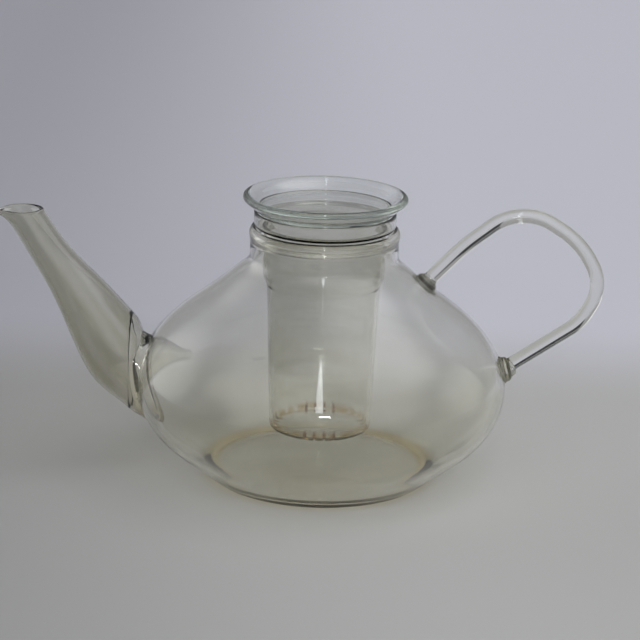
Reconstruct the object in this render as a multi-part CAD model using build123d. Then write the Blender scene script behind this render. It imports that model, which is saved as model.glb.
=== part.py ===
from build123d import *
import os
from math import cos, radians, sin

# Glass teapot: a flame-worked pot (bowl, spout, rod handle) with a loose glass infuser
# that hangs in the neck and a loose dish lid that sits in the infuser's collar.
# Millimetres, +Z up, origin on the pot's axis at the face it stands on.
# The spout points to -X and the handle to +X.

# Bowl
wall = 2.0
floor_thickness = 3.0
floor_flat_radius = 38.0
base_radius = 46.6
heel_bend_radius = 5.0
heel_rise = 38.0
belly_radius = 81.2
belly_height = 43.5
neck_radius = 32.4
neck_base_height = 99.4
bead_radius = 31.0
bead_height = 109.1
bead_half_width = 1.9
bead_half_height = 2.7

# Infuser
infuser_wall = 1.5
collar_radius = 30.9
collar_base = 111.7
collar_top = 119.0
tube_radius = 26.5
step_height = 89.7
lower_tube_radius = 24.7
infuser_bottom_radius = 22.3
infuser_bottom = 20.2
infuser_corner_radius = 2.6
slit_width = 0.9
slit_reach = 4.0
slit_pitch = 4.2
slits_per_side = 4

# Lid
lid_rim_radius = 34.3
lid_rim_height = 125.0
lid_rim_roundness = 1.5
lid_floor_top = 121.8
lid_bottom = 117.6
lid_well_radius = 26.7
lid_seat_radius = 29.2
lid_corner_radius = 1.0

# Spout
spout_wall = 1.7
spout_mouth_height = 116.6
lip_front = -144.4

# Handle
rod_radius = 3.1
pad_radius = 4.8
pad_thickness = 3.2

# The bowl's outline from the heel above the base to the foot of the neck, as radius and height.
heel_slope = (cos(radians(heel_rise)), sin(radians(heel_rise)))
heel_top = (
    base_radius + heel_bend_radius * heel_slope[1],
    heel_bend_radius * (1 - heel_slope[0]),
)
shoulder = [
    (62.0, 10.9),
    (74.0, 21.8),
    (belly_radius, belly_height),
    (70.6, 65.5),
    (48.5, 83.7),
    (36.4, 93.9),
]
neck_start = (neck_radius, neck_base_height)

# Spout stations: middle x and z, half height, half width, and the axis' rise in degrees.
spout_stations = [
    (-68.0, 39.4, 17.4, 14.6, 0),
    (-76.5, 40.7, 17.6, 15.0, 3),
    (-84.2, 48.3, 18.4, 15.4, 13),
    (-92.2, 56.2, 18.3, 15.0, 22),
    (-100.0, 67.2, 15.9, 13.6, 27),
    (-107.0, 78.7, 12.3, 11.6, 33),
    (-114.0, 89.5, 9.4, 9.8, 42),
    (-121.0, 99.9, 8.1, 9.0, 52),
    (-132.0, 117.4, 7.7, 9.0, 57),
    (-136.0, 123.5, 7.7, 9.0, 57),
]

# Handle rod: corners of its path as x and z, and the radius that rounds each inner corner.
rod_corners = [
    (43.0, 86.2),
    (60.6, 105.0),
    (85.1, 124.3),
    (111.2, 107.9),
    (122.2, 88.3),
    (112.5, 71.6),
    (76.0, 46.6),
]
rod_bends = [90.0, 23.0, 38.0, 19.0, 24.0]


def turned(outline):
    """The solid that the closed outline drawn by outline() makes when turned about Z."""
    with BuildPart() as part:
        with BuildSketch(Plane.XZ):
            with BuildLine():
                outline()
            make_face()
        revolve(axis=Axis.Z)
    return part.part


def bowl_outline():
    """From the axis at the base, up the outer wall, to the axis at the bead's middle."""
    Line((0, 0), (base_radius, 0))
    JernArc((base_radius, 0), (1, 0), heel_bend_radius, heel_rise)
    Spline(heel_top, *shoulder, neck_start, tangents=[heel_slope, (0, 1)])
    Polyline(neck_start, (neck_radius, bead_height), (0, bead_height), (0, 0))


def hollow_outline():
    """The outer wall moved in by the wall thickness, over a flat floor."""
    ends = [heel_slope, (0, 1)]
    outer = Spline(heel_top, *shoulder, neck_start, tangents=ends, mode=Mode.PRIVATE)
    inner = []
    for share in (0.09, 0.18, 0.3, 0.42, 0.54, 0.66, 0.78, 0.87, 0.94):
        point = outer @ share
        way = outer % share
        inner.append((point.X - wall * way.Y, point.Y + wall * way.X))
    floor_edge = (floor_flat_radius, floor_thickness)
    mouth = neck_radius - wall
    above = collar_base + 5
    Line((0, floor_thickness), floor_edge)
    Spline(floor_edge, *inner, (mouth, neck_base_height), tangents=[(1, 0), (0, 1)])
    Polyline((mouth, neck_base_height), (mouth, above), (0, above), (0, floor_thickness))


def rim_bead():
    """The rounded bead around the neck's mouth."""
    with BuildPart() as part:
        with BuildSketch(Plane.XZ):
            with Locations((bead_radius, bead_height)):
                Ellipse(bead_half_width, bead_half_height)
        revolve(axis=Axis.Z)
    return part.part


def oval(plane, half_width, half_height):
    """A flat oval face on a plane, in four quarters so that lofts between ovals don't twist."""
    quarters = []
    for quarter in range(4):
        start = radians(90 * quarter)
        points = []
        for step in range(4):
            turn = start + radians(30 * step)
            points.append((half_width * cos(turn), half_height * sin(turn)))
        leaving = (-sin(start), cos(start))
        arriving = (-cos(start), -sin(start))
        quarters.append(Spline(*points, tangents=[leaving, arriving]))
    return plane * make_face(quarters)


def spout_tube(inset):
    """A smooth tube through the stations, each drawn in by inset."""
    sections = []
    for x, z, half_height, half_width, rise in spout_stations:
        way = (-cos(radians(rise)), 0, sin(radians(rise)))
        plane = Plane(origin=(x, 0, z), x_dir=(0, 1, 0), z_dir=way)
        sections.append(oval(plane, half_width - inset, half_height - inset))
    return loft(sections)


def pouring_lip():
    """The small tongue pulled out of the mouth's front edge."""
    root = lip_front + 9
    tongue = [
        (root, 2.6, 5.6, 1.0),
        (root - 4.5, 2.4, 4.4, 0.9),
        (lip_front, 3.6, 1.8, 0.7),
    ]
    sections = []
    for x, drop, half_width, half_thickness in tongue:
        plane = Plane(origin=(x, 0, spout_mouth_height - drop), x_dir=(0, 1, 0), z_dir=(-1, 0, 0))
        sections.append(oval(plane, half_width, half_thickness))
    return loft(sections)


def infuser_outline():
    """Collar, shoulder, tube, step, tapered lower tube and flat floor, outside then inside."""
    thick = infuser_wall
    corner = infuser_corner_radius
    rise = 4.0
    outside = [
        (infuser_bottom_radius, infuser_bottom),
        (lower_tube_radius, step_height - rise),
        (tube_radius, step_height),
        (tube_radius, collar_base),
        (collar_radius, collar_base),
        (collar_radius, collar_top),
    ]
    inside = [
        (collar_radius - thick, collar_top),
        (collar_radius - thick, collar_base + thick),
        (tube_radius - thick, collar_base + thick),
        (tube_radius - thick, step_height),
        (lower_tube_radius - thick, step_height - rise),
        (infuser_bottom_radius - thick, infuser_bottom + thick),
    ]
    FilletPolyline(
        (0, infuser_bottom),
        *outside,
        *inside,
        (0, infuser_bottom + thick),
        radius=[corner, 3, 3, 0.8, 2, 0.7, 0.7, 0.8, 2, 3, 3, 1.2],
    )
    Line((0, infuser_bottom + thick), (0, infuser_bottom))


def infuser_slits():
    """Parallel saw cuts across the bottom corner, on four sides."""
    cuts = []
    middle = (slits_per_side - 1) / 2
    for side in range(4):
        for number in range(slits_per_side):
            place = Pos(
                infuser_bottom_radius - slit_reach / 2,
                (number - middle) * slit_pitch,
                infuser_bottom + slit_reach / 2,
            )
            blade = Box(30, slit_width, 20, align=(Align.CENTER, Align.CENTER, Align.MAX))
            cuts.append(Rot(0, 0, 90 * side) * place * Rot(0, -45, 0) * blade)
    return cuts


def lid_outline():
    """A thick shallow dish: rounded flared rim, conical seat below, flat floor inside."""
    rim = lid_rim_roundness
    seat_foot = lid_seat_radius - (collar_top - lid_bottom)
    seat_top = (lid_rim_radius + 0.71 * rim, lid_rim_height - 0.71 * rim)
    Line((0, lid_bottom), (seat_foot - lid_corner_radius, lid_bottom))
    Line((seat_foot - lid_corner_radius, lid_bottom), (seat_foot, lid_bottom + 0.4))
    Line((seat_foot, lid_bottom + 0.4), seat_top)
    top = (lid_rim_radius - 0.3, lid_rim_height + rim)
    ThreePointArc(seat_top, (lid_rim_radius + rim, lid_rim_height), top)
    shelf = (lid_well_radius + 4.7, lid_rim_height + 0.3)
    wall_middle = (lid_well_radius + 2.6, lid_floor_top + 1.5)
    foot = (lid_well_radius, lid_floor_top)
    Spline(top, shelf, wall_middle, foot, tangents=[(-1, -0.15), (-1, -0.1)])
    Polyline((lid_well_radius, lid_floor_top), (0, lid_floor_top), (0, lid_bottom))


def rod():
    """The bent glass rod, from inside one wall to inside the other."""
    path = Plane.XZ * FilletPolyline(*rod_corners, radius=rod_bends)
    section = Plane(origin=path @ 0, z_dir=path % 0) * Circle(rod_radius)
    return sweep(section, path=path)


def pad(foot, lean, radius):
    """A flattened gob of glass on the bowl, leaning out at lean degrees above level."""
    way = (cos(radians(lean)), 0, sin(radians(lean)))
    plane = Plane(origin=(foot[0], 0, foot[1]), z_dir=way)
    gob = plane * Cylinder(radius, 2 * pad_thickness)
    return fillet(gob.edges().filter_by(GeomType.CIRCLE), 1.2)


def weld_ring():
    """The thickened ring where the spout is fused to the bowl."""
    sections = []
    for x, middle, half_height, half_width in (
        (-70.0, 39.6, 19.6, 17.4),
        (-79.0, 42.6, 19.4, 17.2),
        (-82.6, 45.4, 18.3, 15.9),
    ):
        plane = Plane(origin=(x, 0, middle), x_dir=(0, 1, 0), z_dir=(-1, 0, 0))
        sections.append(oval(plane, half_width, half_height))
    return loft(sections)


def main():
    os.makedirs("parts", exist_ok=True)
    bowl_solid = turned(bowl_outline)
    spout_bore = spout_tube(spout_wall)
    bowl = bowl_solid - turned(hollow_outline) + rim_bead() - spout_bore

    above_mouth = Pos(-130, 0, spout_mouth_height + 30) * Box(80, 60, 60)
    spout_outside = spout_tube(0) - above_mouth
    spout = spout_outside + pouring_lip() - spout_bore - bowl_solid
    spout_weld_ring = weld_ring() - bowl_solid - spout_outside - spout_bore

    whole_rod = rod()
    handle_rod = whole_rod - bowl_solid
    upper_pad = pad((45.4, 88.0), 52, pad_radius) - bowl_solid - whole_rod
    lower_pad = pad((79.9, 49.6), 12, pad_radius + 0.6) - bowl_solid - whole_rod

    infuser = turned(infuser_outline)
    for cut in infuser_slits():
        infuser -= cut

    nodes = {
        "bowl": bowl,
        "spout": spout,
        "spout_weld_ring": spout_weld_ring,
        "handle_rod": handle_rod,
        "handle_upper_pad": upper_pad,
        "handle_lower_pad": lower_pad,
        "infuser": infuser,
        "lid": turned(lid_outline),
    }
    for name, shape in nodes.items():
        export_step(shape, f"parts/{name}.step")


main()
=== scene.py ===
import math
from functools import partial

import bmesh
import bpy
import numpy as np
from mathutils import Matrix, Vector


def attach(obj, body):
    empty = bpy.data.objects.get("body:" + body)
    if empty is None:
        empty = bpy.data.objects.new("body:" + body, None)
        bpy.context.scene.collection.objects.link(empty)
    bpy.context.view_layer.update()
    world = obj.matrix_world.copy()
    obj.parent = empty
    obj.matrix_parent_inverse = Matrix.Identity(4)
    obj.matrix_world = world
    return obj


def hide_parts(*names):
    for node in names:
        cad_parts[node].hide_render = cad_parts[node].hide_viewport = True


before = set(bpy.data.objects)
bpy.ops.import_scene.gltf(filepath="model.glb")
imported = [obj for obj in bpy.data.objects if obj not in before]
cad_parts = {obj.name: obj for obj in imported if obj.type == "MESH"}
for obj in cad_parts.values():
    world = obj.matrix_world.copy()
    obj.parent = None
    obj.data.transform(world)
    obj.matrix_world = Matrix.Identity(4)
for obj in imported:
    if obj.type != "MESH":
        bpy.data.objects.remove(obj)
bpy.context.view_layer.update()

# Everything below is drawn in millimetres and scaled to metres as each mesh is made.
MM = 0.001
SEGMENTS = 176  # around the turned pieces
AROUND_SPOUT = 72
AROUND_ROD = 36

# ---------------------------------------------------------------- shapes: curves


def spline(points, start=None, end=None, step=1.5):
    """Points about one step apart on a smooth curve through the given points.

    start and end are its directions at its two ends; without them the ends are relaxed."""
    p = np.array(points, float)
    span = np.linalg.norm(np.diff(p, axis=0), axis=1)
    n = len(p)
    a, b = np.zeros((n, n)), np.zeros_like(p)
    for i in range(1, n - 1):
        a[i, i - 1 : i + 2] = span[i], 2 * (span[i] + span[i - 1]), span[i - 1]
        before = span[i] * (p[i] - p[i - 1]) / span[i - 1]
        after = span[i - 1] * (p[i + 1] - p[i]) / span[i]
        b[i] = 3 * (before + after)
    for row, side, way, near in ((0, 1, start, span[0]), (n - 1, n - 2, end, span[-1])):
        if way is None:
            a[row, row], a[row, side] = 2, 1
            b[row] = 3 * (p[max(row, side)] - p[min(row, side)]) / near
        else:
            a[row, row] = 1
            b[row] = np.array(way, float) / np.linalg.norm(way)
    m = np.linalg.solve(a, b)
    out = [p[0]]
    for i in range(n - 1):
        count = max(2, round(span[i] / step))
        for k in range(1, count + 1):
            t = k / count
            h00, h10 = 2 * t**3 - 3 * t**2 + 1, t**3 - 2 * t**2 + t
            h01, h11 = -2 * t**3 + 3 * t**2, t**3 - t**2
            out.append(
                h00 * p[i] + h10 * span[i] * m[i] + h01 * p[i + 1] + h11 * span[i] * m[i + 1]
            )
    return np.array(out)


def arc(centre, radius, first, last, count):
    """Points on an arc, from first to last degrees."""
    turns = np.radians(np.linspace(first, last, count + 1))
    return np.array([(centre[0] + radius * math.cos(t), centre[1] + radius * math.sin(t)) for t in turns])


def rounded(corners, radii, steps=5):
    """The open line through the corners, each inner one rounded by its radius."""
    c = [np.array(p, float) for p in corners]
    out = [c[0]]
    for i in range(1, len(c) - 1):
        back, on = c[i - 1] - c[i], c[i + 1] - c[i]
        back, on = back / np.linalg.norm(back), on / np.linalg.norm(on)
        half = math.acos(max(-1, min(1, float(back @ on)))) / 2
        if radii[i - 1] <= 0 or half > math.radians(89.5):
            out.append(c[i])
            continue
        reach = radii[i - 1] / math.tan(half)
        middle = c[i] + (back + on) / np.linalg.norm(back + on) * radii[i - 1] / math.sin(half)
        first, last = c[i] + back * reach - middle, c[i] + on * reach - middle
        sweep = math.pi - 2 * half
        count = max(steps, round(sweep * radii[i - 1] / 1.2))
        for k in range(count + 1):
            t = sweep * k / count
            out.append(
                middle + (math.sin(sweep - t) * first + math.sin(t) * last) / math.sin(sweep)
            )
    out.append(c[-1])
    return np.array(out)


def filled(points, step):
    """The same line with extra points, so that no run is longer than about one step."""
    out = [points[0]]
    for a, b in zip(points[:-1], points[1:]):
        count = max(1, math.ceil(np.linalg.norm(b - a) / step - 1e-6))
        out += [a + (b - a) * k / count for k in range(1, count + 1)]
    return np.array(out)


# ---------------------------------------------------------------- shapes: meshes


def make_object(name, points, faces, tags=None):
    """A mesh object from points in millimetres. tags are material numbers, one for each face."""
    mesh = bpy.data.meshes.new(name)
    mesh.from_pydata([tuple(np.array(p) * MM) for p in points], [], faces)
    if tags is not None:
        mesh.polygons.foreach_set("material_index", tags)
    bm = bmesh.new()
    bm.from_mesh(mesh)
    bmesh.ops.recalc_face_normals(bm, faces=bm.faces)
    bm.to_mesh(mesh)
    bm.free()
    obj = bpy.data.objects.new(name, mesh)
    bpy.context.scene.collection.objects.link(obj)
    return obj


MOUTH_TAG = 9  # marks end faces that are opened again


def skin(name, rings, last_cap=0):
    """A skin through closed rings of points. Its two ends are closed with fans, the last one tagged."""
    rings = np.array(rings, float)
    n, m = rings.shape[:2]
    points = [p for ring in rings for p in ring]
    faces, tags = [], []
    for i in range(n - 1):
        for k in range(m):
            side = (k + 1) % m
            faces.append((i * m + k, i * m + side, (i + 1) * m + side, (i + 1) * m + k))
            tags.append(0)
    for ring, cap in ((0, 0), (n - 1, last_cap)):
        points.append(rings[ring].mean(axis=0))
        for k in range(m):
            faces.append((ring * m + k, ring * m + (k + 1) % m, len(points) - 1))
            tags.append(cap)
    return make_object(name, points, faces, tags)


def turned(name, outline, segments=SEGMENTS, last_cap=0):
    """The outline, as radius and height, turned about Z."""
    turns = np.linspace(0, 2 * math.pi, segments, endpoint=False)
    c, s = np.cos(turns), np.sin(turns)
    rings = [np.stack([r * c, r * s, np.full(segments, z)], axis=1) for r, z in outline]
    return skin(name, rings, last_cap)


def combined(base, other, operation, keep_other=False):
    """base after a boolean with other; other is deleted unless it is kept."""
    modifier = base.modifiers.new("boolean", "BOOLEAN")
    modifier.solver = "MANIFOLD"
    modifier.operation = operation
    modifier.object = other
    dg = bpy.context.evaluated_depsgraph_get()
    mesh = bpy.data.meshes.new_from_object(base.evaluated_get(dg))
    base.modifiers.remove(modifier)
    old = base.data
    base.data = mesh
    mesh.name = base.name
    bpy.data.meshes.remove(old)
    if not keep_other:
        bpy.data.objects.remove(other)
    return base


# ---------------------------------------------------------------- the bowl's two outlines

WALL = 2.0
FLOOR_TOP = 3.0
BASE_RADIUS = 46.6
HEEL_BEND = 5.0
HEEL_RISE = math.radians(38.0)
NECK_RADIUS = 32.4
NECK_FOOT = 99.4
NECK_CUT = 103.6  # above this the neck's mouth and its bead are drawn as one rounded edge

heel_way = (math.cos(HEEL_RISE), math.sin(HEEL_RISE))
heel_top = (BASE_RADIUS + HEEL_BEND * heel_way[1], HEEL_BEND * (1 - heel_way[0]))
shoulder = [(62.0, 10.9), (74.0, 21.8), (81.2, 43.5), (70.6, 65.5), (48.5, 83.7), (36.4, 93.9)]
outer_wall = spline([heel_top, *shoulder, (NECK_RADIUS, NECK_FOOT)], heel_way, (0, 1), step=1.4)
along = np.gradient(outer_wall, axis=0)
along /= np.linalg.norm(along, axis=1)[:, None]
moved_in = outer_wall + WALL * np.stack([-along[:, 1], along[:, 0]], axis=1)
inner_wall = spline([(38.0, FLOOR_TOP), (45.0, 3.5), moved_in[5]], (1, 0), along[5], step=1.4)
inner_wall = np.concatenate([inner_wall[:-1], moved_in[5:]])

base_rings = [(r, 0.0) for r in (8, 16, 24, 32, 40, 44.5)]
heel = arc((BASE_RADIUS, HEEL_BEND), HEEL_BEND, -90, -90 + math.degrees(HEEL_RISE), 5)
outer_outline = [*base_rings, *heel, *outer_wall[1:], (NECK_RADIUS, 101.5), (NECK_RADIUS, NECK_CUT)]
floor_rings = [(r, FLOOR_TOP) for r in (8, 16, 24, 31)]
mouth_radius = NECK_RADIUS - WALL
inner_outline = [*floor_rings, *inner_wall, (mouth_radius, 101.5), (mouth_radius, NECK_CUT)]

# The bead around the mouth, from the outer wall over its top to the inner wall.
bead = spline(
    [(32.4, NECK_CUT), (32.42, 106.2), (32.9, 108.7), (32.5, 110.8), (31.0, 111.8), (29.6, 110.9),
     (29.1, 109.1), (29.5, 107.3), (30.38, 105.8), (30.4, NECK_CUT)],
    (0, 1), (0, -1), step=0.6,
)[1:-1]

# ---------------------------------------------------------------- the spout

SPOUT_WALL = 1.7
SPOUT_MOUTH = 116.6
MOUTH_CUT = SPOUT_MOUTH - 0.9  # above this the mouth's rim is drawn as one rounded edge
stations = np.array([
    # x, z, half height, half width, rise in degrees
    (-68.0, 39.4, 17.4, 14.6, 0),
    (-76.5, 40.7, 17.6, 15.0, 3),
    (-84.2, 48.3, 18.4, 15.4, 13),
    (-92.2, 56.2, 18.3, 15.0, 22),
    (-100.0, 67.2, 15.9, 13.6, 27),
    (-107.0, 78.7, 12.3, 11.6, 33),
    (-114.0, 89.5, 9.4, 9.8, 42),
    (-121.0, 99.9, 8.1, 9.0, 52),
    (-132.0, 117.4, 7.7, 9.0, 57),
    (-136.0, 123.5, 7.7, 9.0, 57),
])
station_curve = spline(stations, step=0.6)
spout_turns = np.linspace(0, 2 * math.pi, AROUND_SPOUT, endpoint=False)


def spout_ring(x, z, half_height, half_width, rise):
    """One oval of the spout. The turns start at +Y and pass over the top."""
    lean = math.radians(rise)
    up = np.array([math.sin(lean), 0, math.cos(lean)])
    side = np.array([0, 1, 0])
    across = np.cos(spout_turns)[:, None] * half_width * side
    return np.array([x, 0, z]) + across + np.sin(spout_turns)[:, None] * half_height * up


def upright_ring(x, z, half_height, half_width):
    """The same oval without a rise."""
    return spout_ring(x, z, half_height, half_width, 0)


SPOUT_ROWS = 110
LIP_REACH = 3.6  # how far the pouring lip is drawn out, and how far it is pressed down
LIP_DROP = 1.2
LIP_DEPTH = 7.0  # below the mouth, where the lip begins


def spout_skin(name, inset):
    """The spout's tube drawn in by inset, from the station curve's start to the mouth's cut."""
    grid = np.array([spout_ring(x, z, half_height - inset, half_width - inset, rise)
                     for x, z, half_height, half_width, rise in station_curve])
    rings = np.zeros((SPOUT_ROWS, AROUND_SPOUT, 3))
    for k in range(AROUND_SPOUT):
        line = grid[:, k]
        last = int(np.argmax(line[:, 2] > MOUTH_CUT))
        t = (MOUTH_CUT - line[last - 1, 2]) / (line[last, 2] - line[last - 1, 2])
        line = np.concatenate([line[:last], [line[last - 1] + t * (line[last] - line[last - 1])]])
        run = np.concatenate([[0], np.cumsum(np.linalg.norm(np.diff(line, axis=0), axis=1))])
        at = np.linspace(0, run[-1], SPOUT_ROWS)
        for axis in range(3):
            rings[:, k, axis] = np.interp(at, run, line[:, axis])
    # The pouring lip: the front edge is drawn out and pressed a little down.
    front = np.cos(spout_turns + math.pi / 2)  # 1 at the front (lower) side
    weight = np.clip(front, 0, 1) ** 7
    below = np.clip((rings[-1, :, 2][None, :] - rings[:, :, 2]) / LIP_DEPTH, 0, 1)
    pull = (1 - below) ** 2.2 * weight[None, :]
    rings[:, :, 0] -= LIP_REACH * pull
    rings[:, :, 2] -= LIP_DROP * pull
    return skin(name, rings, MOUTH_TAG)


# ---------------------------------------------------------------- the handle

ROD_RADIUS = 3.1
rod_corners = [(43.0, 86.2), (60.6, 105.0), (85.1, 124.3), (111.2, 107.9), (122.2, 88.3),
               (112.5, 71.6), (76.0, 46.6)]
rod_bends = [90.0, 23.0, 38.0, 19.0, 24.0]  # the radius at each corner between the two ends
rod_path = filled(rounded(rod_corners, rod_bends, steps=10), 1.3)


def tube(name, path, radii, around=AROUND_ROD):
    """A round solid along a path of x and z, with a radius at each point."""
    way = np.gradient(path, axis=0)
    way /= np.linalg.norm(way, axis=1)[:, None]
    turns = np.linspace(0, 2 * math.pi, around, endpoint=False)
    rings = []
    for (x, z), (wx, wz), r in zip(path, way, radii):
        up = np.array([-wz, 0, wx])
        ring = np.cos(turns)[:, None] * np.array([0, 1, 0]) + np.sin(turns)[:, None] * up
        rings.append(np.array([x, 0, z]) + r * ring)
    return skin(name, rings)


def gob(name, foot, lean, outline, around=56):
    """A gob of glass turned about an axis that leans out at lean degrees above level."""
    tilt = Matrix.Rotation(math.radians(90 - lean), 4, "Y")
    obj = turned(name, outline, segments=around)
    obj.data.transform(Matrix.Translation(Vector((foot[0], 0, foot[1])) * MM) @ tilt)
    return obj


# ---------------------------------------------------------------- the pot's glass, in one skin


def delete_tagged(obj, tag):
    """Opens the mesh where its faces carry the tag."""
    bm = bmesh.new()
    bm.from_mesh(obj.data)
    bmesh.ops.delete(bm, geom=[f for f in bm.faces if f.material_index == tag], context="FACES")
    bm.to_mesh(obj.data)
    bm.free()


def turn_round(point, middle, step):
    """A point's angle round the middle, counted from half a step before +X.

    No point lies at that cut, so rounding can't change which point of a loop comes first."""
    return (math.atan2(point.y - middle.y, point.x - middle.x) + step / 2) % (2 * math.pi)


def open_loops(bm, count):
    """The open edge loops that have that many points, each as points in order round Z."""
    left = {v for e in bm.edges if e.is_boundary for v in e.verts}
    loops = []
    while left:
        todo, loop = [left.pop()], []
        while todo:
            v = todo.pop()
            loop.append(v)
            for e in v.link_edges:
                if e.is_boundary:
                    o = e.other_vert(v)
                    if o in left:
                        left.remove(o)
                        todo.append(o)
        if len(loop) == count:
            middle = sum((v.co for v in loop), Vector()) / count
            loop.sort(key=lambda v: turn_round(v.co, middle, 2 * math.pi / count))
            loops.append(loop)
    return loops


def bridge(bm, first, last, rings_between):
    """Faces from one loop to another through rings of points given in metres."""
    rows = [first] + [[bm.verts.new(p) for p in ring] for ring in rings_between] + [last]
    for a, b in zip(rows[:-1], rows[1:]):
        for k in range(len(a)):
            side = (k + 1) % len(a)
            bm.faces.new((a[k], a[side], b[side], b[k]))


def loop_size(loop):
    """The summed distance of a loop's points from its middle."""
    middle = sum((v.co for v in loop), Vector()) / len(loop)
    return sum((v.co - middle).length for v in loop)


bowl_outside = turned("bowl_glass", outer_outline, last_cap=MOUTH_TAG)
spout_outside = spout_skin("spout_outside", 0.0)
bowl_inside = turned("bowl_inside", inner_outline, last_cap=MOUTH_TAG)
spout_inside = spout_skin("spout_inside", SPOUT_WALL)

ring_sections = [
    # x, middle z, half height, half width
    (-68.0, 39.4, 19.0, 17.0),
    (-74.0, 40.6, 19.3, 17.1),
    (-77.5, 42.0, 19.3, 16.7),
    (-80.5, 44.4, 19.1, 16.1),
    (-82.4, 46.2, 18.6, 15.6),
    (-83.7, 47.4, 18.1, 15.2),
]
ring_curve = spline(ring_sections, step=0.8)
weld = skin("weld", [upright_ring(*section) for section in ring_curve])

rod = tube("rod", rod_path, np.full(len(rod_path), ROD_RADIUS))

# Each gob: a flattened disc on the wall, drawn in to the rod. Radius and height above the wall.
gob_outline = spline(
    [(5.6, -1.0), (5.5, -0.3), (5.0, 0.5), (4.9, 1.5), (4.3, 2.6), (3.4, 3.3), (3.05, 4.4), (2.4, 5.4)],
    step=0.45,
)


def wall_point(x, z):
    """The nearest point of the bowl's outer wall, and its outward lean in degrees above level."""
    i = int(np.argmin(np.linalg.norm(outer_wall - (x, z), axis=1)))
    return outer_wall[i], math.degrees(math.atan2(-along[i][0], along[i][1]))


upper_foot, upper_lean = wall_point(45.4, 88.0)
lower_foot, lower_lean = wall_point(79.9, 49.6)
upper_gob = gob("upper_gob", upper_foot, upper_lean, gob_outline)
lower_gob = gob("lower_gob", lower_foot, lower_lean, gob_outline * (1.12, 1.0))

pot = bowl_outside
for extra in (spout_outside, weld, rod, upper_gob, lower_gob):
    combined(pot, extra, "UNION")
hollow = combined(bowl_inside, spout_inside, "UNION")

delete_tagged(pot, MOUTH_TAG)
delete_tagged(hollow, MOUTH_TAG)
hollow.data.flip_normals()

bm = bmesh.new()
bm.from_mesh(pot.data)
bm.from_mesh(hollow.data)
bpy.data.objects.remove(hollow)

neck_loops = sorted(open_loops(bm, SEGMENTS), key=lambda loop: -loop[0].co.to_2d().length)
turn_of = [math.atan2(v.co.y, v.co.x) for v in neck_loops[0]]
bead_rings = [[(r * math.cos(t) * MM, r * math.sin(t) * MM, z * MM) for t in turn_of] for r, z in bead]
bridge(bm, neck_loops[0], neck_loops[1], bead_rings)

RIM_STEPS = 8
spout_loops = sorted(open_loops(bm, AROUND_SPOUT), key=loop_size, reverse=True)
rim_rings = []
for k in range(1, RIM_STEPS):
    t = math.pi * k / RIM_STEPS
    ring = []
    for a, b in zip(*spout_loops):
        middle, half = (a.co + b.co) / 2, (a.co - b.co) / 2
        ring.append(middle + half * math.cos(t) + Vector((0, 0, half.length * math.sin(t))))
    rim_rings.append(ring)
bridge(bm, spout_loops[0], spout_loops[1], rim_rings)
bmesh.ops.recalc_face_normals(bm, faces=bm.faces)
bm.to_mesh(pot.data)
bm.free()

# ---------------------------------------------------------------- the pot, parted where it was fused

MARKED = 1  # material number of faces where two fused pieces meet, and of the infuser's sawn faces


def part_off(name, cutter):
    """The part of the pot inside the cutter, as a piece of its own; the pot loses it."""
    for polygon in cutter.data.polygons:
        polygon.material_index = MARKED
    piece = bpy.data.objects.new(name, pot.data.copy())
    piece.data.name = name
    bpy.context.scene.collection.objects.link(piece)
    combined(piece, cutter, "INTERSECT", keep_other=True)
    combined(pot, cutter, "DIFFERENCE")
    return piece


def pad_cutter(name, foot, lean, radius, low=-0.7, high=3.5):
    """A disc on the bowl's wall that takes in a pad and a little of the wall under it."""
    return gob(name, foot, lean, [(radius, low), (radius, high)])


SPOUT_PLANE = -83.9  # the spout's piece begins at this x
spout_box = [upright_ring(x, 80, 160, 60) for x in (SPOUT_PLANE, -170)]
spout = part_off("spout_glass", skin("spout_cutter", spout_box))
weld_cuts = [
    # x, middle z, half height and half width of a funnel that opens towards the spout
    (-60.0, 39.4, 19.5, 17.5),
    (-74.0, 40.6, 20.2, 17.9),
    (-77.5, 43.0, 21.5, 18.0),
    (-79.0, 44.0, 26.0, 19.0),
    (-80.5, 45.0, 31.0, 21.0),
    (-90.0, 50.0, 36.0, 24.0),
]
weld_cutter = skin("weld_cutter", [upright_ring(*section) for section in weld_cuts])
weld_ring = part_off("weld_ring_glass", weld_cutter)
upper_pad = part_off("upper_pad_glass", pad_cutter("upper_cutter", upper_foot, upper_lean, 6.6))
lower_pad = part_off("lower_pad_glass", pad_cutter("lower_cutter", lower_foot, lower_lean, 7.4))


def loose_parts(obj):
    """The separate closed parts of a mesh, as lists of face numbers."""
    bm = bmesh.new()
    bm.from_mesh(obj.data)
    bm.faces.ensure_lookup_table()
    seen, parts = set(), []
    for face in bm.faces:
        if face.index in seen:
            continue
        part, todo = [], [face]
        seen.add(face.index)
        while todo:
            f = todo.pop()
            part.append(f.index)
            for e in f.edges:
                for g in e.link_faces:
                    if g.index not in seen:
                        seen.add(g.index)
                        todo.append(g)
        parts.append(part)
    bm.free()
    return parts


def keep_faces(obj, numbers):
    """Leaves only the numbered faces of the mesh."""
    bm = bmesh.new()
    bm.from_mesh(obj.data)
    wanted = set(numbers)
    bmesh.ops.delete(bm, geom=[f for f in bm.faces if f.index not in wanted], context="FACES")
    bm.to_mesh(obj.data)
    bm.free()


# The pads are off, so the rod is a loose part of what is left.
bowl_faces, rod_faces = sorted(loose_parts(pot), key=len, reverse=True)
handle_rod = bpy.data.objects.new("rod_glass", pot.data.copy())
handle_rod.data.name = "rod_glass"
bpy.context.scene.collection.objects.link(handle_rod)
keep_faces(handle_rod, rod_faces)
keep_faces(pot, bowl_faces)

# ---------------------------------------------------------------- the infuser and the lid

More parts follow.
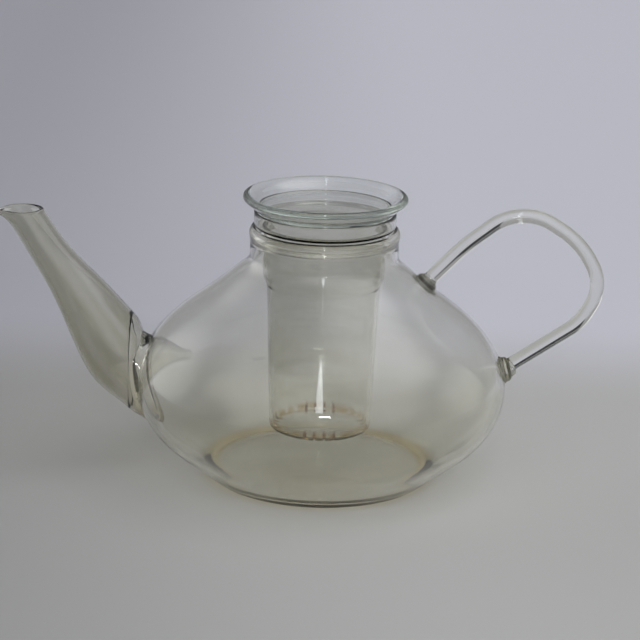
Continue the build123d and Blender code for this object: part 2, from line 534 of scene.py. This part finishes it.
FOOT_RADIUS, FOOT = 22.3, 20.2  # the corner of the infuser's bottom
infuser_corners = [
    (0, FOOT), (FOOT_RADIUS, FOOT), (24.7, 85.7), (26.5, 89.7), (26.5, 111.9), (30.9, 111.9),
    (30.9, 119.0), (29.4, 119.0), (29.4, 113.2), (25.0, 113.2), (25.0, 89.7), (23.2, 85.7),
    (20.8, 21.7), (0, 21.7),
]
infuser_radii = [2.6, 3, 3, 0.8, 2, 0.7, 0.7, 0.8, 2, 3, 3, 1.2]
infuser_line = filled(rounded(infuser_corners, infuser_radii, steps=6), 2.5)[1:-1]
infuser = turned("infuser_glass", infuser_line)

SLIT_WIDTH, SLIT_REACH, SLIT_PITCH, SLITS = 0.9, 4.0, 4.2, 4


def blades(side):
    """The saw cuts of one side: slabs that lean over the bottom corner at 45 degrees."""
    points, faces = [], []
    lean = Matrix.Rotation(math.radians(-45), 4, "Y")
    turn = Matrix.Rotation(math.radians(90 * side), 4, "Z")
    for number in range(SLITS):
        across = (number - (SLITS - 1) / 2) * SLIT_PITCH
        place = Matrix.Translation((FOOT_RADIUS - SLIT_REACH / 2, across, FOOT + SLIT_REACH / 2))
        first = len(points)
        for x in (-15, 15):
            for y in (-SLIT_WIDTH / 2, SLIT_WIDTH / 2):
                for z in (-20, 0):
                    points.append(turn @ place @ lean @ Vector((x, y, z)))
        for face in ((0, 1, 3, 2), (4, 6, 7, 5), (0, 4, 5, 1), (2, 3, 7, 6), (0, 2, 6, 4), (1, 5, 7, 3)):
            faces.append(tuple(first + v for v in face))
    return make_object("blades", points, faces, [MARKED] * len(faces))


for side in range(4):
    combined(infuser, blades(side), "DIFFERENCE")

lid_dish = [(34.0, 126.5), (31.4, 125.3), (29.3, 123.3), (26.7, 121.8)]
lid_line = np.concatenate([
    rounded([(0, 117.6), (27.8, 117.6), (35.37, 123.93)], [1.0], steps=6)[:-1],
    arc((34.3, 125.0), 1.5, -45, 90, 12),
    spline(lid_dish, (-1, -0.15), (-1, -0.1), step=0.6)[1:],
    [(0, 121.8)],
])
lid = turned("lid_glass", filled(lid_line, 2.5)[1:-1])

# ---------------------------------------------------------------- materials: nodes

GLASS_IOR = 1.47
WHITE = (1, 1, 1)


def new_material(name):
    material = bpy.data.materials.new(name)
    material.use_nodes = True
    nodes = material.node_tree.nodes
    return material, nodes, material.node_tree.links, nodes["Principled BSDF"]


def plug(links, value, socket):
    """Links an output to a socket, or sets the socket to a number or colour."""
    if isinstance(value, bpy.types.NodeSocket):
        links.new(value, socket)
    else:
        socket.default_value = value


def place_of(nodes, links):
    """X, Y and Z in metres of the point that is shaded."""
    coords = nodes.new("ShaderNodeTexCoord")
    split = nodes.new("ShaderNodeSeparateXYZ")
    links.new(coords.outputs["Object"], split.inputs["Vector"])
    return split.outputs


def arithmetic(nodes, links, operation, a, b=0.0):
    node = nodes.new("ShaderNodeMath")
    node.operation = operation
    plug(links, a, node.inputs[0])
    plug(links, b, node.inputs[1])
    return node.outputs[0]


def product(nodes, links, first, *others):
    for other in others:
        first = arithmetic(nodes, links, "MULTIPLY", first, other)
    return first


def rising(nodes, links, value, first, last):
    """0 at the first value and 1 at the last, smooth between."""
    node = nodes.new("ShaderNodeMapRange")
    node.interpolation_type = "SMOOTHSTEP"
    node.inputs["From Min"].default_value = first
    node.inputs["From Max"].default_value = last
    links.new(value, node.inputs["Value"])
    return node.outputs["Result"]


def falling(nodes, links, value, first, last):
    """1 at the first value and 0 at the last, smooth between."""
    return arithmetic(nodes, links, "SUBTRACT", 1.0, rising(nodes, links, value, first, last))


def from_axis(nodes, links, place):
    """The distance in metres from the Z axis."""
    squares = [product(nodes, links, place[axis], place[axis]) for axis in "XY"]
    return arithmetic(nodes, links, "SQRT", arithmetic(nodes, links, "ADD", *squares))


def height_share(nodes, links, low, high):
    """0 at the low height and 1 at the high one, both in millimetres."""
    share = nodes.new("ShaderNodeMapRange")
    share.inputs["From Min"].default_value = low * MM
    share.inputs["From Max"].default_value = high * MM
    links.new(place_of(nodes, links)["Z"], share.inputs["Value"])
    return share.outputs["Result"]


def noise(nodes, links, scale, detail=2.0, stretch=(1, 1, 1), seed=0.0, lean=0.0):
    """A noise over the piece's own millimetre space, stretched along axes that lean about Y."""
    coords = nodes.new("ShaderNodeTexCoord")
    mapping = nodes.new("ShaderNodeMapping")
    mapping.vector_type = "TEXTURE"
    mapping.inputs["Scale"].default_value = [MM / (scale * k) for k in stretch]
    mapping.inputs["Rotation"].default_value = (0, math.radians(lean), 0)
    # The seed is a place in the noise, so that two pieces don't share a pattern.
    mapping.inputs["Location"].default_value = (seed, seed * 0.7, -seed)
    links.new(coords.outputs["Object"], mapping.inputs["Vector"])
    texture = nodes.new("ShaderNodeTexNoise")
    texture.inputs["Scale"].default_value = 1.0
    texture.inputs["Detail"].default_value = detail
    links.new(mapping.outputs["Vector"], texture.inputs["Vector"])
    return texture.outputs["Fac"]


def ramp(nodes, links, value, stops):
    """A colour by value, from stops of a place and a colour."""
    node = nodes.new("ShaderNodeValToRGB")
    elements = node.color_ramp.elements
    while len(elements) < len(stops):
        elements.new(0.5)
    for element, (place, colour) in zip(elements, stops):
        element.position = place
        element.color = (*colour, 1)
    links.new(value, node.inputs["Fac"])
    return node.outputs["Color"]


def multiplied(nodes, links, a, b):
    """Two colours multiplied."""
    mix = nodes.new("ShaderNodeMix")
    mix.data_type = "RGBA"
    mix.blend_type = "MULTIPLY"
    mix.inputs[0].default_value = 1.0
    links.new(a, mix.inputs[6])
    links.new(b, mix.inputs[7])
    return mix.outputs[2]


# ---------------------------------------------------------------- materials: what each piece is made of


def corner_stain(nodes, links):
    """The tea stain at the infuser's bottom corner: a thin patchy ring, and a stroke along each slit."""
    place = place_of(nodes, links)
    radius = from_axis(nodes, links, place)
    low = falling(nodes, links, place["Z"], 22.2 * MM, 26.2 * MM)
    corner = rising(nodes, links, radius, 19.0 * MM, 21.2 * MM)
    patchy = rising(nodes, links, noise(nodes, links, 0.22, 3.0, seed=21), 0.30, 0.72)
    ring = product(nodes, links, corner, low, patchy)
    # Each side's slits lie about its middle, so the smaller of x and y is the distance from there.
    x, y = (arithmetic(nodes, links, "ABSOLUTE", place[axis]) for axis in "XY")
    across = arithmetic(nodes, links, "MINIMUM", x, y)
    half_pitch = SLIT_PITCH * MM / 2
    from_middle = arithmetic(nodes, links, "PINGPONG", across, half_pitch)
    from_slit = arithmetic(nodes, links, "SUBTRACT", half_pitch, from_middle)
    on_slit = falling(nodes, links, from_slit, 0.3 * MM, 0.8 * MM)
    within = arithmetic(nodes, links, "LESS_THAN", across, SLITS / 2 * SLIT_PITCH * MM)
    stroke = product(nodes, links, on_slit, within, rising(nodes, links, radius, 17.5 * MM, 19.0 * MM), low)
    strokes = ramp(nodes, links, stroke, [(0.0, WHITE), (0.8, (0.42, 0.22, 0.06))])
    rings = ramp(nodes, links, ring, [(0.0, WHITE), (0.9, (0.70, 0.47, 0.16))])
    return multiplied(nodes, links, strokes, rings)


def heel_line(nodes, links):
    """A faint amber ring in the thick heel around the base."""
    place = place_of(nodes, links)
    outside = rising(nodes, links, from_axis(nodes, links, place), 44.0 * MM, 46.5 * MM)
    band = product(nodes, links, outside, falling(nodes, links, place["Z"], 1.0 * MM, 4.0 * MM))
    return ramp(nodes, links, band, [(0.0, WHITE), (1.0, (0.90, 0.78, 0.52))])


def glass(name, tints_and_shade, span, wave=0.012, wave_size=0.06, stretch=(1, 1, 1), film=0.03, seed=0.0,
          marks=None, absorbed=(8.0, 8.0, 14.0), streak=(1, 1, 0.35), lean=0.0):
    """Clear glass: its tint by height, which in the infuser holds a band of painted shade, a faint streaky
    film and the slow waves of hand-worked glass.

    span is the lowest and highest millimetre of the tints and of the painted shade in them. What the glass
    absorbs is per metre, so its edges come out deeper."""
    material, nodes, links, bsdf = new_material(name)
    tint_and_shade = ramp(nodes, links, height_share(nodes, links, *span), tints_and_shade)
    streaks = ramp(
        nodes, links, noise(nodes, links, 0.05, 5.0, streak, seed + 3, lean),
        [(0.3, (1 - film, 1 - film, 1 - film * 1.6)), (0.65, WHITE)],
    )
    colour = multiplied(nodes, links, tint_and_shade, streaks)
    if marks:
        colour = multiplied(nodes, links, colour, marks(nodes, links))
    links.new(colour, bsdf.inputs["Base Color"])
    bsdf.inputs["Roughness"].default_value = 0.004
    bsdf.inputs["IOR"].default_value = GLASS_IOR
    bsdf.inputs["Transmission Weight"].default_value = 1.0
    bump = nodes.new("ShaderNodeBump")
    bump.inputs["Strength"].default_value = 1.0
    bump.inputs["Distance"].default_value = wave * MM
    links.new(noise(nodes, links, wave_size, 1.5, stretch, seed, lean), bump.inputs["Height"])
    links.new(bump.outputs["Normal"], bsdf.inputs["Normal"])
    inside = nodes.new("ShaderNodeVolumeAbsorption")
    density = 2 * max(absorbed)
    inside.inputs["Density"].default_value = density
    inside.inputs["Color"].default_value = [1 - k / density for k in absorbed] + [1]
    links.new(inside.outputs["Volume"], nodes["Material Output"].inputs["Volume"])
    return material


def seam_material():
    """Where two fused pieces meet there is no surface, so light passes straight on."""
    material = bpy.data.materials.new("fused_seam")
    material.use_nodes = True
    nodes = material.node_tree.nodes
    nodes.clear()
    clear = nodes.new("ShaderNodeBsdfTransparent")
    output = nodes.new("ShaderNodeOutputMaterial")
    material.node_tree.links.new(clear.outputs["BSDF"], output.inputs["Surface"])
    return material


def stained_cut():
    """The sawn faces of the slits: ground glass with tea stain in it."""
    material, nodes, links, bsdf = new_material("stained_cut")
    patches = noise(nodes, links, 0.6, 4.0, seed=11)
    links.new(
        ramp(nodes, links, patches, [(0.3, (0.20, 0.10, 0.035)), (0.7, (0.62, 0.48, 0.30))]),
        bsdf.inputs["Base Color"],
    )
    bsdf.inputs["Roughness"].default_value = 0.35
    bsdf.inputs["IOR"].default_value = GLASS_IOR
    bsdf.inputs["Transmission Weight"].default_value = 0.7
    return material


CLEAR = (0.975, 0.975, 0.965)
OLIVE = (0.965, 0.965, 0.935)
SPOUT_SLOPE = -33.7  # the streaks in the spout's glass run along it

bowl_glass = glass(
    "bowl_glass",
    [(0.0, (0.97, 0.955, 0.90)), (0.06, (0.97, 0.96, 0.92)), (0.3, OLIVE), (0.7, CLEAR), (0.93, CLEAR),
     (1.0, (0.94, 0.93, 0.87))],
    (0, 112), wave=0.04, wave_size=0.045, stretch=(0.6, 0.6, 1.4), film=0.05, seed=1,
    marks=heel_line, absorbed=(5.0, 5.0, 9.0), streak=(0.6, 0.6, 1.2),
)
spout_glass = glass(
    "spout_glass", [(0.0, (0.85, 0.835, 0.78)), (1.0, (0.88, 0.875, 0.85))],
    (30, 110), wave=0.02, wave_size=0.12, stretch=(1, 1, 0.15), film=0.16, seed=2,
    streak=(3, 3, 0.25), lean=SPOUT_SLOPE,
)
weld_glass = glass(
    "weld_glass", [(0.0, (0.80, 0.66, 0.42)), (0.12, (0.87, 0.84, 0.74)), (1.0, (0.90, 0.895, 0.85))],
    (20, 60), wave=0.03, wave_size=0.15, seed=3,
)
rod_glass = glass(
    "rod_glass", [(0.0, (0.99, 0.99, 0.975)), (1.0, (0.99, 0.99, 0.975))],
    (40, 110), wave=0.02, wave_size=0.06, seed=4, absorbed=(3.0, 3.0, 6.0),
)
# The infuser's tints darken to a band high on its wall: painted shade for the dark seen through the neck
# there.
infuser_glass = glass(
    "infuser_glass",
    [(0.0, (0.95, 0.95, 0.935)), (0.4, (0.91, 0.91, 0.90)), (0.76, (0.83, 0.83, 0.815)),
     (0.93, (0.95, 0.95, 0.94)), (1.0, (0.96, 0.965, 0.95))],
    (20, 120), wave=0.015, wave_size=0.3, stretch=(0.12, 0.12, 1), film=0.07, seed=5,
    marks=corner_stain, streak=(0.4, 0.4, 3),
)
lid_glass = glass(
    "lid_glass", [(0.0, (0.97, 0.98, 0.97)), (1.0, (0.97, 0.98, 0.97))],
    (117, 127), wave=0.006, film=0.015, seed=6, absorbed=(3.4, 1.8, 3.0),
)
seam = seam_material()
cut = stained_cut()

PIECES = [
    # piece, material, material of its tagged faces, body, slot, CAD nodes that it stands for
    (pot, bowl_glass, seam, "pot", "pot_glass", ["bowl"]),
    (spout, spout_glass, seam, "pot", "spout_glass", ["spout"]),
    (weld_ring, weld_glass, seam, "pot", "weld_glass", ["spout_weld_ring"]),
    (handle_rod, rod_glass, seam, "pot", "rod_glass", ["handle_rod"]),
    (upper_pad, weld_glass, seam, "pot", "weld_glass", ["handle_upper_pad"]),
    (lower_pad, weld_glass, seam, "pot", "weld_glass", ["handle_lower_pad"]),
    (infuser, infuser_glass, cut, "infuser", "infuser_glass", ["infuser"]),
    (lid, lid_glass, None, "lid", "lid_glass", ["lid"]),
]
for piece, main, tagged, body, slot, nodes in PIECES:
    piece.data.materials.clear()
    for material in (main, tagged):
        if material is not None:
            piece.data.materials.append(material)
    piece.data.shade_smooth()
    piece.data.set_sharp_from_angle(angle=math.radians(42))
    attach(piece, body)
    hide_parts(*nodes)

# ---------------------------------------------------------------- floor

NEAR_FLOOR, FAR_FLOOR = 0.55, 2.6  # metres


def floor_material():
    """A pale table top, darker on the left as painted shade where the light falls off, and a little bluer
    far back.
    """
    material, nodes, links, bsdf = new_material("floor")
    place = place_of(nodes, links)
    # Painted shade: the table darkens towards the left, as if the light fell off there.
    painted_side_shade = ramp(nodes, links, rising(nodes, links, place["X"], -0.26, 0.10),
                     [(0.0, (0.62, 0.62, 0.62)), (0.5, (0.80, 0.80, 0.80)), (1.0, WHITE)])
    back_tone = ramp(nodes, links, rising(nodes, links, place["Y"], 0.10, 0.24),
                     [(0.0, (0.52, 0.52, 0.51)), (1.0, (0.66, 0.665, 0.73))])
    links.new(multiplied(nodes, links, painted_side_shade, back_tone), bsdf.inputs["Base Color"])
    bsdf.inputs["Roughness"].default_value = 0.6
    bsdf.inputs["Specular IOR Level"].default_value = 0.2
    return material


def floor_ring(name, material, inner, outer, steps=128):
    """A flat ring just below the base, so that light reaches the floor under the glass."""
    turns = [2 * math.pi * k / steps for k in range(steps)]
    points = [(r * math.cos(t), r * math.sin(t), -0.2 * MM) for r in (inner, outer) for t in turns]
    faces = [(k, (k + 1) % steps, steps + (k + 1) % steps, steps + k) for k in range(steps)]
    if inner == 0:
        points, faces = points[steps:], [tuple(range(steps))]
    mesh = bpy.data.meshes.new(name)
    mesh.from_pydata(points, [], faces)
    mesh.materials.append(material)
    obj = bpy.data.objects.new(name, mesh)
    bpy.context.scene.collection.objects.link(obj)
    return obj


table = floor_material()
floor_ring("floor", table, 0, NEAR_FLOOR)
# Far off, the floor is seen directly, but not through the glass or as a reflection in it. The room
# light takes its place there, with the dark gap behind the pot that the rod shows as dark bands.
far_floor = floor_ring("far_floor", table, NEAR_FLOOR, FAR_FLOOR)
far_floor.visible_transmission = False
far_floor.visible_glossy = False

# ---------------------------------------------------------------- the room's light

scene = bpy.context.scene
world = bpy.data.worlds.new("studio")
world.use_nodes = True
scene.world = world
wn, wl = world.node_tree.nodes, world.node_tree.links
figure, times, step_up, step_down = (partial(f, wn, wl) for f in (arithmetic, product, rising, falling))


def between(value, first, last, soft):
    """1 from the first value to the last, and 0 further than soft outside them."""
    return times(step_up(value, first - soft, first), step_down(value, last, last + soft))


def blended(share, a, b):
    """Colour a where the share is 0 and colour b where it is 1."""
    node = wn.new("ShaderNodeMix")
    node.data_type = "RGBA"
    plug(wl, share, node.inputs[0])
    plug(wl, a, node.inputs[6])
    plug(wl, b, node.inputs[7])
    return node.outputs[2]


coords = wn.new("ShaderNodeTexCoord")
split = wn.new("ShaderNodeSeparateXYZ")
wl.new(coords.outputs["Generated"], split.inputs["Vector"])
rise = split.outputs["Z"]
forward = figure("MULTIPLY", split.outputs["Y"], -1.0)  # 1 straight in front of the pot
azimuth = figure("ARCTAN2", split.outputs["X"], split.outputs["Y"])  # 0 straight behind the pot

ambient = blended(step_up(rise, -0.2, 0.9), (0.36, 0.36, 0.37, 1), (0.22, 0.22, 0.24, 1))
below = step_down(rise, -0.10, -0.03)
ambient = blended(below, ambient, (0.50, 0.505, 0.55, 1))
in_front = step_up(forward, 0.2, 0.9)
ambient = blended(in_front, ambient, (0.46, 0.46, 0.47, 1))

# Behind the pot on its left, a gap in the backdrop shows the dark room and a thin bright line in it.
GAP_LEFT, GAP_RIGHT = -0.21, -0.07  # turns about Z in radians, at the horizon
GAP_LEAN = 0.7  # the higher the gap is, the further to the left
room = blended(between(rise, 0.13, 0.15, 0.012), (0.005, 0.005, 0.006, 1), (0.60, 0.62, 0.66, 1))
room = blended(step_up(rise, 0.16, 0.19), room, (0.05, 0.05, 0.06, 1))
leaning = figure("ADD", azimuth, figure("MULTIPLY", rise, GAP_LEAN))
tall = times(step_up(rise, -0.115, -0.09), step_down(rise, 0.34, 0.46))
gap = times(between(leaning, GAP_LEFT, GAP_RIGHT, 0.02), tall)
lit = blended(gap, ambient, room)


def towards(azimuth, elevation, outer, inner):
    """A soft round share of the room: 0 outside the outer half angle, 1 within the inner one, in degrees."""
    a, e = math.radians(azimuth), math.radians(elevation)
    dot = wn.new("ShaderNodeVectorMath")
    dot.operation = "DOT_PRODUCT"
    dot.inputs[1].default_value = (math.sin(a) * math.cos(e), math.cos(a) * math.cos(e), math.sin(e))
    wl.new(coords.outputs["Generated"], dot.inputs[0])
    return step_up(dot.outputs["Value"], math.cos(math.radians(outer)), math.cos(math.radians(inner)))


SOFT_LIGHTS = [
    # azimuth, elevation, outer half angle, inner half angle, level
    (161, 38, 55, 16, 1.45),  # a broad one in front and above
    (100, 62, 34, 1, 2.0),  # a small one high on the right
    (-62, 14, 30, 1, 1.5),  # a low one on the left
]
for *direction, level in SOFT_LIGHTS:
    lit = blended(towards(*direction), lit, (level, level, level, 1))
# A tall narrow light straight in front gives the column of highlights on the lid, the collar and the bead.
front = figure("ARCTAN2", split.outputs["X"], forward)
column = times(between(front, -0.045, 0.025, 0.02), between(rise, 0.50, 0.97, 0.03))
lit = blended(column, lit, (6.0, 6.2, 6.6, 1))
wl.new(lit, wn["Background"].inputs["Color"])
wn["Background"].inputs["Strength"].default_value = 0.88

# A small bar lamp high in front adds sharp highlights.
BAR_PLACE, BAR_TARGET = Vector((0.06, -1.25, 0.56)), Vector((0, 0, 0.05))
bar = bpy.data.objects.new("bar", bpy.data.lights.new("bar", "AREA"))
bar.data.energy = 1.2
bar.data.color = (0.95, 0.97, 1.0)
bar.data.shape = "RECTANGLE"
bar.data.size, bar.data.size_y = 0.16, 0.03
bar.location = BAR_PLACE
bar.rotation_euler = (BAR_TARGET - BAR_PLACE).to_track_quat("-Z", "Y").to_euler()
scene.collection.objects.link(bar)

# ---------------------------------------------------------------- camera

LENS, SENSOR = 133.9, 36.0
CAMERA_PLACE = (-0.00104, -1.0, 0.3695)
LOOK_DOWN, ROLL = 16.69, 1.58  # degrees
camera = bpy.data.objects.new("camera", bpy.data.cameras.new("camera"))
camera.data.sensor_width = SENSOR
camera.data.lens = LENS
camera.matrix_world = (
    Matrix.Translation(CAMERA_PLACE)
    @ Matrix.Rotation(math.radians(90 - LOOK_DOWN), 4, "X")
    @ Matrix.Rotation(math.radians(ROLL), 4, "Z")
)
scene.collection.objects.link(camera)
scene.camera = camera

scene.view_settings.view_transform = "Standard"
scene.cycles.max_bounces = 28
scene.cycles.transmission_bounces = 28
scene.cycles.glossy_bounces = 8
scene.cycles.blur_glossy = 0.0
scene.cycles.transparent_max_bounces = 24
